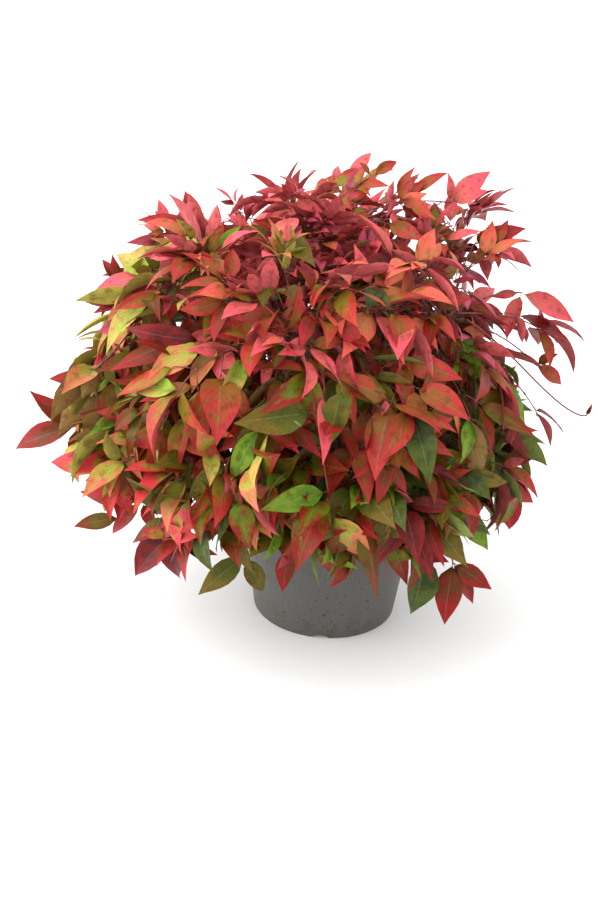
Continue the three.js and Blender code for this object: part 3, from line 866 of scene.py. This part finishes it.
def make_stalks():
    """The solids' stalks, and inner ones that are dealt by the same rule at a smaller reach."""
    stalks = []
    for i, (end, tint) in enumerate(OUTLIERS):
        if tint:
            stalk = stalk_at(i, Vector(end))
            stalk["end"] += stalk["line"] * OUTLIER_GROWTH * max(0, stalk["height"])
            stalk["tint"] = tint
            stalks.append(stalk)
    number = len(OUTLIERS)
    for i in range(STALKS):
        stalk = crown_stalk(number + i, (i + 0.5) / STALKS, 1 - DEPTH_SPREAD * next(stream(i)) ** 2)
        stalk["end"] = pull_in(stalk["end"] + stalk["line"] * STRAY_GROWTH * next(stream(-i)) ** 3)
        stalks.append(stalk)
    number += STALKS
    for i in range(INNER_STALKS):
        share = ((i + 0.5) / INNER_STALKS) ** INNER_BIAS
        stalk = crown_stalk(number + i, share, mix(*INNER_REACH, next(stream(-i))))
        stalk["end"] = pull_in(stalk["end"])
        if abs(in_crown(stalk["end"])[0]) < OPEN_SIDE or i % INNER_SIDE == 0:
            stalks.append(stalk)
    return stalks


def crown_stalk(number, share, reach):
    """The stalk at a share of the way down the crown, at the golden angle from the one before."""
    cosine = 1 - share**SKIRT_BIAS * (1 - SKIRT_COS)
    sine = math.sqrt(1 - cosine * cosine)
    angle = (number - len(OUTLIERS)) * GOLDEN_ANGLE
    reach *= 1 + SHOULDER * (2 * sine * max(0, cosine)) ** 2
    across = CROWN_ACROSS * reach * sine * math.cos(angle)
    deep = CROWN_DEEP * reach * sine * math.sin(angle)
    return stalk_at(number, Vector((CROWN_X + across, deep, CROWN_Z + CROWN_UP * reach * cosine)))


def outline(point):
    """A point's distance from the crown's middle, seen from the front, and the outline's there."""
    across, rise = point.x - CROWN_X, point.z - CROWN_Z
    turn = (math.degrees(math.atan2(rise, across)) - OUTLINE_FROM) % 360 / OUTLINE_STEP
    step = min(int(turn), len(OUTLINE) - 2)
    share = min(1, turn - step)
    return math.hypot(across, rise), OUTLINE[step] * (1 - share) + OUTLINE[step + 1] * share


def pull_in(end):
    """The end of a stalk, moved towards the crown's middle if it lies too near the outline."""
    reach, limit = outline(end)
    share = min(1, (limit - OUTLINE_STALKS) / reach)
    return Vector((CROWN_X + (end.x - CROWN_X) * share, end.y, CROWN_Z + (end.z - CROWN_Z) * share))


def nearest_mass(masses, spot):
    return min(masses, key=lambda mass: (mass["space"] - spot).length)


def deal_stalks(masses):
    """Deals every stalk to the mass in whose space it ends, and roots it along that mass's stem."""
    for stalk in make_stalks():
        nearest_mass(masses, stalk["end"])["stalks"].append(stalk)
    for number, (tint, joint, tips) in enumerate(SPRIGS):
        sprig = {"number": number, "tint": tint, "joint": Vector(joint)}
        sprig["tips"] = [Vector(tip) for tip in tips]
        nearest_mass(masses, sprig["joint"])["sprigs"].append(sprig)
    for i, mass in enumerate(masses):
        stalks = mass["stalks"]
        stalks.sort(key=lambda stalk: (stalk["end"] - mass["tip"]).dot(mass["way"]))
        for place, stalk in enumerate(stalks):
            share = STEM_BARE + (1 - STEM_BARE) * (place + 0.5) / len(stalks)
            stalk["root"] = mass["tip"].lerp(mass["heart"], share)
        stalks.extend(tuft_stalk(mass, TUFT_NUMBER + TUFT * i + k) for k in range(TUFT))


def tuft_stalk(mass, number):
    """A short stalk from near the end of a mass's stem, kept within the crown."""
    draw = random.Random(number)
    aside = Vector([draw.uniform(-1, 1) for _ in range(3)])
    way = ((mass["heart"] - CROWN_MIDDLE).normalized() + aside * TUFT_ASIDE).normalized()
    root = mass["tip"].lerp(mass["heart"], draw.uniform(*TUFT_ROOT))
    stalk = stalk_at(number, root + way * draw.uniform(*TUFT_LENGTH))
    if stalk["reach"] > TUFT_REACH:
        out = stalk["end"] - CROWN_MIDDLE
        stalk = stalk_at(number, CROWN_MIDDLE + out * TUFT_REACH / stalk["reach"])
    stalk["root"] = root
    return stalk


# --- Sprays ---


def pick_tint(spot, reach, draw):
    """A tint for a spray, drawn by where in the crown it is: greener the deeper it lies."""
    side, _, height = in_crown(spot)
    greener = 1 + GREEN_GAIN * max(0, GREEN_REACH - reach) * (1 - between(height, *GREEN_TO))
    weights = []
    for name, (_, _, (home_side, home_height), share) in TINTS.items():
        far = ((side - home_side) / TINT_WIDE) ** 2 + ((height - home_height) / TINT_HIGH) ** 2
        weight = share * (math.exp(-far / 2) + TINT_STRAY)
        weights.append(weight * greener if name in GREENS else weight)
    return draw.choices(list(TINTS), weights)[0]


def free(point, lowest):
    """Whether a point keeps clear of the pot and above the crown's underside."""
    away = math.hypot(point.x, point.y)
    if point.z < POT_HEIGHT + POT_MARGIN and away < LIP_RADIUS + POT_MARGIN:
        return False
    return point.z > lowest + LOWEST_RISE * max(0, away - LOWEST_FROM)


def habit_of(stalk, draw):
    """What the leaflets of a spray have in common."""
    young = between(stalk["height"], *YOUNG)
    side = abs(in_crown(stalk["end"])[0])
    habit = {"young": young, "reach": stalk["reach"], "outlying": "tint" in stalk}
    habit["pairs"] = 2 if young > TWO_PAIRS else 1
    habit["lift"] = LEAF_LIFT - LEAF_LIFT_TOP * max(0, stalk["height"])
    habit["gaps"] = mix(*GAPS, between(side, OPEN_SIDE, 1))
    size = draw.uniform(1 - LEAF_SPREAD, 1 + LEAF_SPREAD)
    habit["size"] = mix(*LEAF_LENGTHS, young) * size
    habit["tint"] = pick_tint(stalk["end"], stalk["reach"], draw)
    habit["lowest"] = LOWEST_LEAF + LOWEST_SPREAD * draw.random()
    if habit["outlying"]:
        habit.update(tint=stalk["tint"], lowest=LOWEST_OUTLIER)
    return habit


class Foliage:
    """Gathers the leaflets and twigs of a group of masses."""

    def __init__(self):
        self.leaves = []
        self.twigs = Tubes(TWIG_SIDES)

    def limb(self, curve, steps, radii):
        """A twig along a curve, tapering from its first radius to its last."""
        self.twigs.add(points_along(curve, steps), [mix(*radii, i / steps) for i in range(steps + 1)])

    def blade(self, root, way, up, length, width, tint, draw):
        """A leaflet on its own short stalk, with its width as a share of its length."""
        base = root + way * LEAFSTALK
        self.twigs.add([root, base], [LEAFSTALK_RADIUS] * 2)
        leaf = {"root": base - way * LEAF_SUNK, "way": way, "up": up, "length": length, "tint": tint}
        for key, limits in BLADE_PLAY.items():
            leaf[key] = draw.uniform(*limits)
        leaf["width"] *= width * length
        leaf["tile"] = draw.randrange(TILES_A_TINT)
        self.leaves.append(leaf)

    def leaflet(self, root, line, up, length, habit, draw):
        """A leaflet at a joint: drawn down by its weight, and left out if it would hang too low."""
        young, lowest = habit["young"], habit["lowest"]
        sag = (LEAF_SAG + LEAF_SAG_OLD * (1 - young)) * draw.uniform(*LEAF_SAG_PLAY)
        way = (line - UP * sag + up * draw.uniform(LEAF_DIP, habit["lift"])).normalized()
        if draw.random() < SHORT_SHARE:
            lowest += SHORT_RISE
        tip = root + way * (length + LEAFSTALK)
        if not free(tip, lowest) or not free(root + way * length / 2, lowest):
            return
        reach, limit = outline(tip)
        if not habit["outlying"] and reach > limit + draw.uniform(*OUTLINE_EASE):
            return
        up = turned(up, way, draw.gauss(0, LEAF_ROLL))
        tint = habit["tint"]
        if draw.random() > SAME_TINT:
            tint = pick_tint(root, habit["reach"], draw)
        self.blade(root, way, up, length, mix(*LEAF_WIDTHS, young), tint, draw)

    def trio(self, at, line, up, length, habit, draw):
        """A terminal leaflet with pairs of side leaflets behind it."""
        up = turned(up, line, draw.gauss(0, TRIO_ROLL))
        self.leaflet(at, line, up, length * draw.uniform(*END_SIZE), habit, draw)
        for pair in range(habit["pairs"]):
            joint = at - line * (PAIR_SPACING * pair + PAIR_BACK)
            for sign in (-1, 1):
                if draw.random() >= PAIR_GAPS:
                    way = turned(line, up, sign * draw.uniform(*PAIR_TURN))
                    self.leaflet(joint, way, up, length * draw.uniform(*PAIR_SIZE), habit, draw)

    def side_twig(self, at, line, up, growth, habit, draw):
        """A twig to one side of a leaf stalk, with a trio at its end."""
        way = (line + up * draw.uniform(*TWIG_LIFT)).normalized()
        far = at + way * (draw.uniform(*TWIG_LENGTH) + growth)
        if free(far, habit["lowest"]):
            self.twigs.add([at, at.lerp(far, 0.5) + up * TWIG_ARCH, far], [TWIG_RADIUS] * 3)
            self.trio(far, way, up, habit["size"] * draw.uniform(*TRIO_SIZE), habit, draw)

    def spray(self, stalk):
        """A leaf stalk on the solids' curve, with a trio at its end and side twigs with trios."""
        draw = random.Random(SPRAY_SEED + stalk["number"])
        root, end, line, up = (stalk[key] for key in ("root", "end", "line", "up"))
        length = (end - root).length
        curve = [root, end - line * (STALK_BEND * length), end]
        steps = max(STALK_STEPS, round(length / STALK_STEP))
        self.limb(curve, steps, STALK_RADII)
        habit = habit_of(stalk, draw)
        self.trio(end, line, up, habit["size"], habit, draw)
        spacing = mix(*JOINT_SPACINGS, habit["young"])
        for joint in range(1, JOINTS + 1):
            share = 1 - joint * spacing / length
            if share < JOINT_FIRST:
                break
            at = bezier(curve, share)
            along = (bezier(curve, share + JOINT_AHEAD) - at).normalized()
            self.twigs.add([at - along * JOINT_REACH, at, at + along * JOINT_REACH], JOINT_RADII)
            growth = TWIG_GROWTH * min(joint, TWIG_GROWTH_JOINTS)
            for sign in (-1, 1):
                if draw.random() >= habit["gaps"]:
                    aside = turned(along, up, sign * draw.uniform(*TWIG_TURN))
                    self.side_twig(at, aside, up, growth, habit, draw)

    def sprig(self, mass, sprig):
        """A wiry stalk from a mass's stem, with leaflets that turn their upper sides to the front."""
        draw = random.Random(SPRIG_SEED + sprig["number"])
        joint = sprig["joint"]
        root = mass["tip"].lerp(mass["heart"], SPRIG_ROOT)
        rise = UP * SPRIG_RISE * (joint - root).length
        curve = [root, root.lerp(joint, SPRIG_BEND) + rise, joint]
        self.limb(curve, SPRIG_STEPS, SPRIG_RADII)
        for tip in sprig["tips"]:
            reach = tip - joint
            up = Vector((draw.uniform(-SPRIG_PLAY, SPRIG_PLAY), *SPRIG_FACING))
            length = reach.length - LEAFSTALK
            self.blade(joint, reach.normalized(), up, length, SPRIG_WIDTH, sprig["tint"], draw)

    def bare_stalk(self):
        curve = [Vector(point) for point in BARE_STALK]
        self.limb(curve, BARE_STALK_STEPS, BARE_STALK_RADII)
        self.leaves.append({"root": curve[-1], **DRY_LEAF})


# --- Leaflet meshes ---


def half_width(share):
    """Half a blade's width at a share of its length: widest before the middle, drawn out to a point."""
    return share**LEAF_ROUND * (1 - share) ** LEAF_POINT / LEAF_PEAK


def leaf_grid():
    """The faces of one blade over its numbered points, and each point's place on the leaf.

    The upper side has five points across. The underside shares its rim and has one more for the
    midrib in each row. Both sides are split from the same rim points, so that they never cross.
    """
    rows = LEAF_ROWS - 1
    wide = len(LEAF_ACROSS)
    edge = wide - 1
    tip = rows * wide
    top, under = [], [(0, 1, 2, tip + 1), (2, 3, 4, tip + 1)]
    for row in range(rows - 1):
        near, far, rib = row * wide, (row + 1) * wide, tip + 1 + row
        for k in (0, 1):
            top += [(near + k + 1, near + k, far + k + 1), (near + k, far + k, far + k + 1)]
        for k in (3, 4):
            top += [(near + k, near + k - 1, far + k - 1), (near + k, far + k - 1, far + k)]
        under += [(near, rib, rib + 1), (near, rib + 1, far)]
        under += [(rib, near + edge, rib + 1), (near + edge, far + edge, rib + 1)]
    near, rib = tip - wide, tip + rows
    top += [(near + k + 1, near + k, tip) for k in range(edge)]
    under += [(near, rib, tip), (rib, near + edge, tip)]
    across = np.array(list(LEAF_ACROSS) * rows + [0] * (rows + 1))
    along = [row / rows for row in range(rows) for _ in range(wide)] + [1]
    along += [row / rows for row in range(rows)]
    sunk = np.array([0] * (tip + 1) + [1] * rows)
    return top, under, across, np.array(along), sunk


def leaf_points(leaves, across, along, sunk):
    """All points of all blades: bent along the arc, folded at the midrib, waved and twisted."""
    keys = ("way", "up", "root", "length", "width", "bend", "fold", "wave", "twist")
    way, up, root, *numbers = (np.array([leaf[key] for leaf in leaves]) for key in keys)
    length, width, bend, fold, wave, twist = (each[:, None] for each in numbers)
    side = np.cross(up, way)
    side /= np.linalg.norm(side, axis=1)[:, None]
    top = np.cross(way, side)
    shares = along[None, :]
    half = width / 2 * np.maximum(half_width(np.clip(shares, 0, 1)), LEAF_NECK * (1 - shares))
    lift = LEAF_RISE * bend
    angle = lift - bend * shares
    forward = length * (np.sin(lift) - np.sin(angle)) / bend
    height = length * (np.cos(angle) - np.cos(lift)) / bend
    reach = across[None, :] * half
    rise = fold * np.abs(reach) - LEAF_CUP * reach**2 / np.maximum(width, 1)
    rise = rise + wave * reach * np.sin(shares * LEAF_WAVES + LEAF_WAVE_SHIFT * twist)
    rise = rise - sunk[None, :] * LEAF_THICKNESS
    turn = twist * shares
    shift = reach * np.cos(turn) - rise * np.sin(turn)
    rise = reach * np.sin(turn) + rise * np.cos(turn)
    forward = forward - rise * np.sin(angle)
    height = height + rise * np.cos(angle)
    spots = root[:, None, :]
    for offset, axis in ((forward, way), (shift, side), (height, top)):
        spots = spots + offset[:, :, None] * axis[:, None, :]
    return spots


def make_leaves(name, leaves, materials):
    """One piece of many blades, with a map that gives each tint its own tiles."""
    top, under, across, along, sunk = leaf_grid()
    per = len(across)
    spots = leaf_points(leaves, across, along, sunk)
    number_of = {look: number for number, look in enumerate(materials)}
    back_of = {tint: back for back, (_, tints) in UNDERSIDES.items() for tint in tints}
    in_tile = (0.5 + (0.5 - TILE_MARGIN) * across, TILE_MARGIN + (1 - 2 * TILE_MARGIN) * along)
    faces, numbers, places = [], [], []
    for i, leaf in enumerate(leaves):
        for side, look in ((top, leaf["tint"]), (under, back_of[leaf["tint"]])):
            number = number_of[look]
            row, column = divmod(number * TILES_A_TINT + leaf["tile"], MAP_TILES)
            for face in side:
                faces.append(tuple(i * per + p for p in face))
                numbers.append(number)
                for p in face:
                    places += [column + in_tile[0][p], row + in_tile[1][p]]
    piece = mesh_piece(name, spots.reshape(-1, 3), faces, materials.values())
    mesh = piece.data
    mesh.polygons.foreach_set("material_index", numbers)
    layer = mesh.uv_layers.new(name=LEAF_MAP)
    layer.data.foreach_set("uv", np.array(places) / MAP_TILES)
    mark_rims(mesh, len(leaves), per)
    return piece


def mark_rims(mesh, count, per):
    """Keeps the shading of a blade's two sides apart along its rim."""
    wide = len(LEAF_ACROSS)
    tip = (LEAF_ROWS - 1) * wide
    on_rim = np.zeros(count * per, dtype=bool)
    for p in [*range(0, tip + 1, wide), *range(wide - 1, tip, wide)]:
        on_rim[p::per] = True
    ends = np.empty(len(mesh.edges) * 2, dtype=np.int32)
    mesh.edges.foreach_get("vertices", ends)
    mark = mesh.attributes.new("sharp_edge", "BOOLEAN", "EDGE")
    mark.data.foreach_set("value", on_rim[ends[::2]] & on_rim[ends[1::2]])


def toned(colour, share, more=0):
    return tuple(share * c + more for c in colour)


def leaf_materials():
    """The tints' materials and then the undersides', by name, in the order of their numbers."""
    made = {}
    for name, (at_stalk, at_tip, _, _) in TINTS.items():
        made[name] = leaf_material(name, at_stalk, at_tip, toned(at_tip, *VEIN))
    for name, (colour, _) in UNDERSIDES.items():
        vein = toned(colour, *UNDERSIDE_VEIN)
        made[name] = leaf_material(name, toned(colour, UNDERSIDE_STALK), colour, vein)
    return made


def make_foliage(masses):
    """The leaflets and the twigs of each ring, joined into a few pieces of neighbouring masses."""
    materials = leaf_materials()
    twigs_look = twig_material()
    for ring, parts in PARTS.items():
        masses_here = [mass for mass in masses if mass["ring"] == ring]
        for part in range(parts):
            first, last = (len(masses_here) * k // parts for k in (part, part + 1))
            group = masses_here[first:last]
            foliage = foliage_of(group)
            nodes = ["foliage_" + mass["name"] for mass in group]
            name = ring if parts == 1 else f"{ring}_{part + 1}"
            leaves = make_leaves("leaves_" + name, foliage.leaves, materials)
            settle(leaves, "foliage_" + ring, *nodes)
            settle(foliage.twigs.piece("twigs_" + name, twigs_look), "cane", *nodes)


def foliage_of(masses):
    foliage = Foliage()
    for mass in masses:
        foliage.limb([mass["tip"], mass["heart"]], STEM_STEPS, STEM_RADII)
        for stalk in mass["stalks"]:
            foliage.spray(stalk)
        for sprig in mass["sprigs"]:
            foliage.sprig(mass, sprig)
        if mass["name"] == BARE_STALK_MASS:
            foliage.bare_stalk()
    return foliage


# --- Stage ---


def make_floor():
    """A pale floor that turns up into a backdrop far behind the pot."""
    half = FLOOR_SIZE / 2
    profile = [(-half, 0), (FLOOR_BACK, 0)]
    for i in range(1, FLOOR_STEPS + 1):
        turn = math.pi / 2 * i / FLOOR_STEPS
        profile.append((FLOOR_BACK + FLOOR_BEND * math.sin(turn), FLOOR_BEND * (1 - math.cos(turn))))
    profile.append((FLOOR_BACK + FLOOR_BEND, half))
    points = [(x, y, z) for y, z in profile for x in (-half, half)]
    faces = [(2 * i, 2 * i + 1, 2 * i + 3, 2 * i + 2) for i in range(len(profile) - 1)]
    s = Shader("floor", 0.9, Specular_IOR_Level=0.1, Base_Color=FLOOR_GREY)
    mesh_piece("floor", points, faces, [s.material])


def make_camera():
    data = bpy.data.cameras.new("camera")
    data.lens = LENS
    data.sensor_width = LENS
    data.clip_start = CLIP_START * MM
    camera = new_object("camera", data)
    right, up = Vector(CAMERA_RIGHT), Vector(CAMERA_UP)
    turn = Matrix((right, up, right.cross(up))).transposed().to_4x4()
    camera.matrix_world = Matrix.Translation(Vector(CAMERA_AT) * MM) @ turn
    scene = bpy.context.scene
    scene.camera = camera
    scene.view_settings.view_transform = "Standard"


def make_lights():
    world = bpy.data.worlds.new("studio")
    world.use_nodes = True
    back = world.node_tree.nodes["Background"]
    back.inputs["Color"].default_value = (1, 1, 1, 1)
    back.inputs["Strength"].default_value = SKY_STRENGTH
    bpy.context.scene.world = world
    for name, (at, aim, size, watts, colour) in LIGHTS.items():
        data = bpy.data.lights.new(name, "AREA")
        data.size = size
        data.energy = watts
        data.color = colour
        light = new_object(name, data)
        light.location = at
        light.rotation_euler = (Vector(aim) - Vector(at)).to_track_quat("-Z", "Y").to_euler()


make_camera()
make_lights()
make_floor()
make_pot()
make_soil()
all_masses = make_masses()
deal_stalks(all_masses)
make_canes(all_masses)
make_foliage(all_masses)
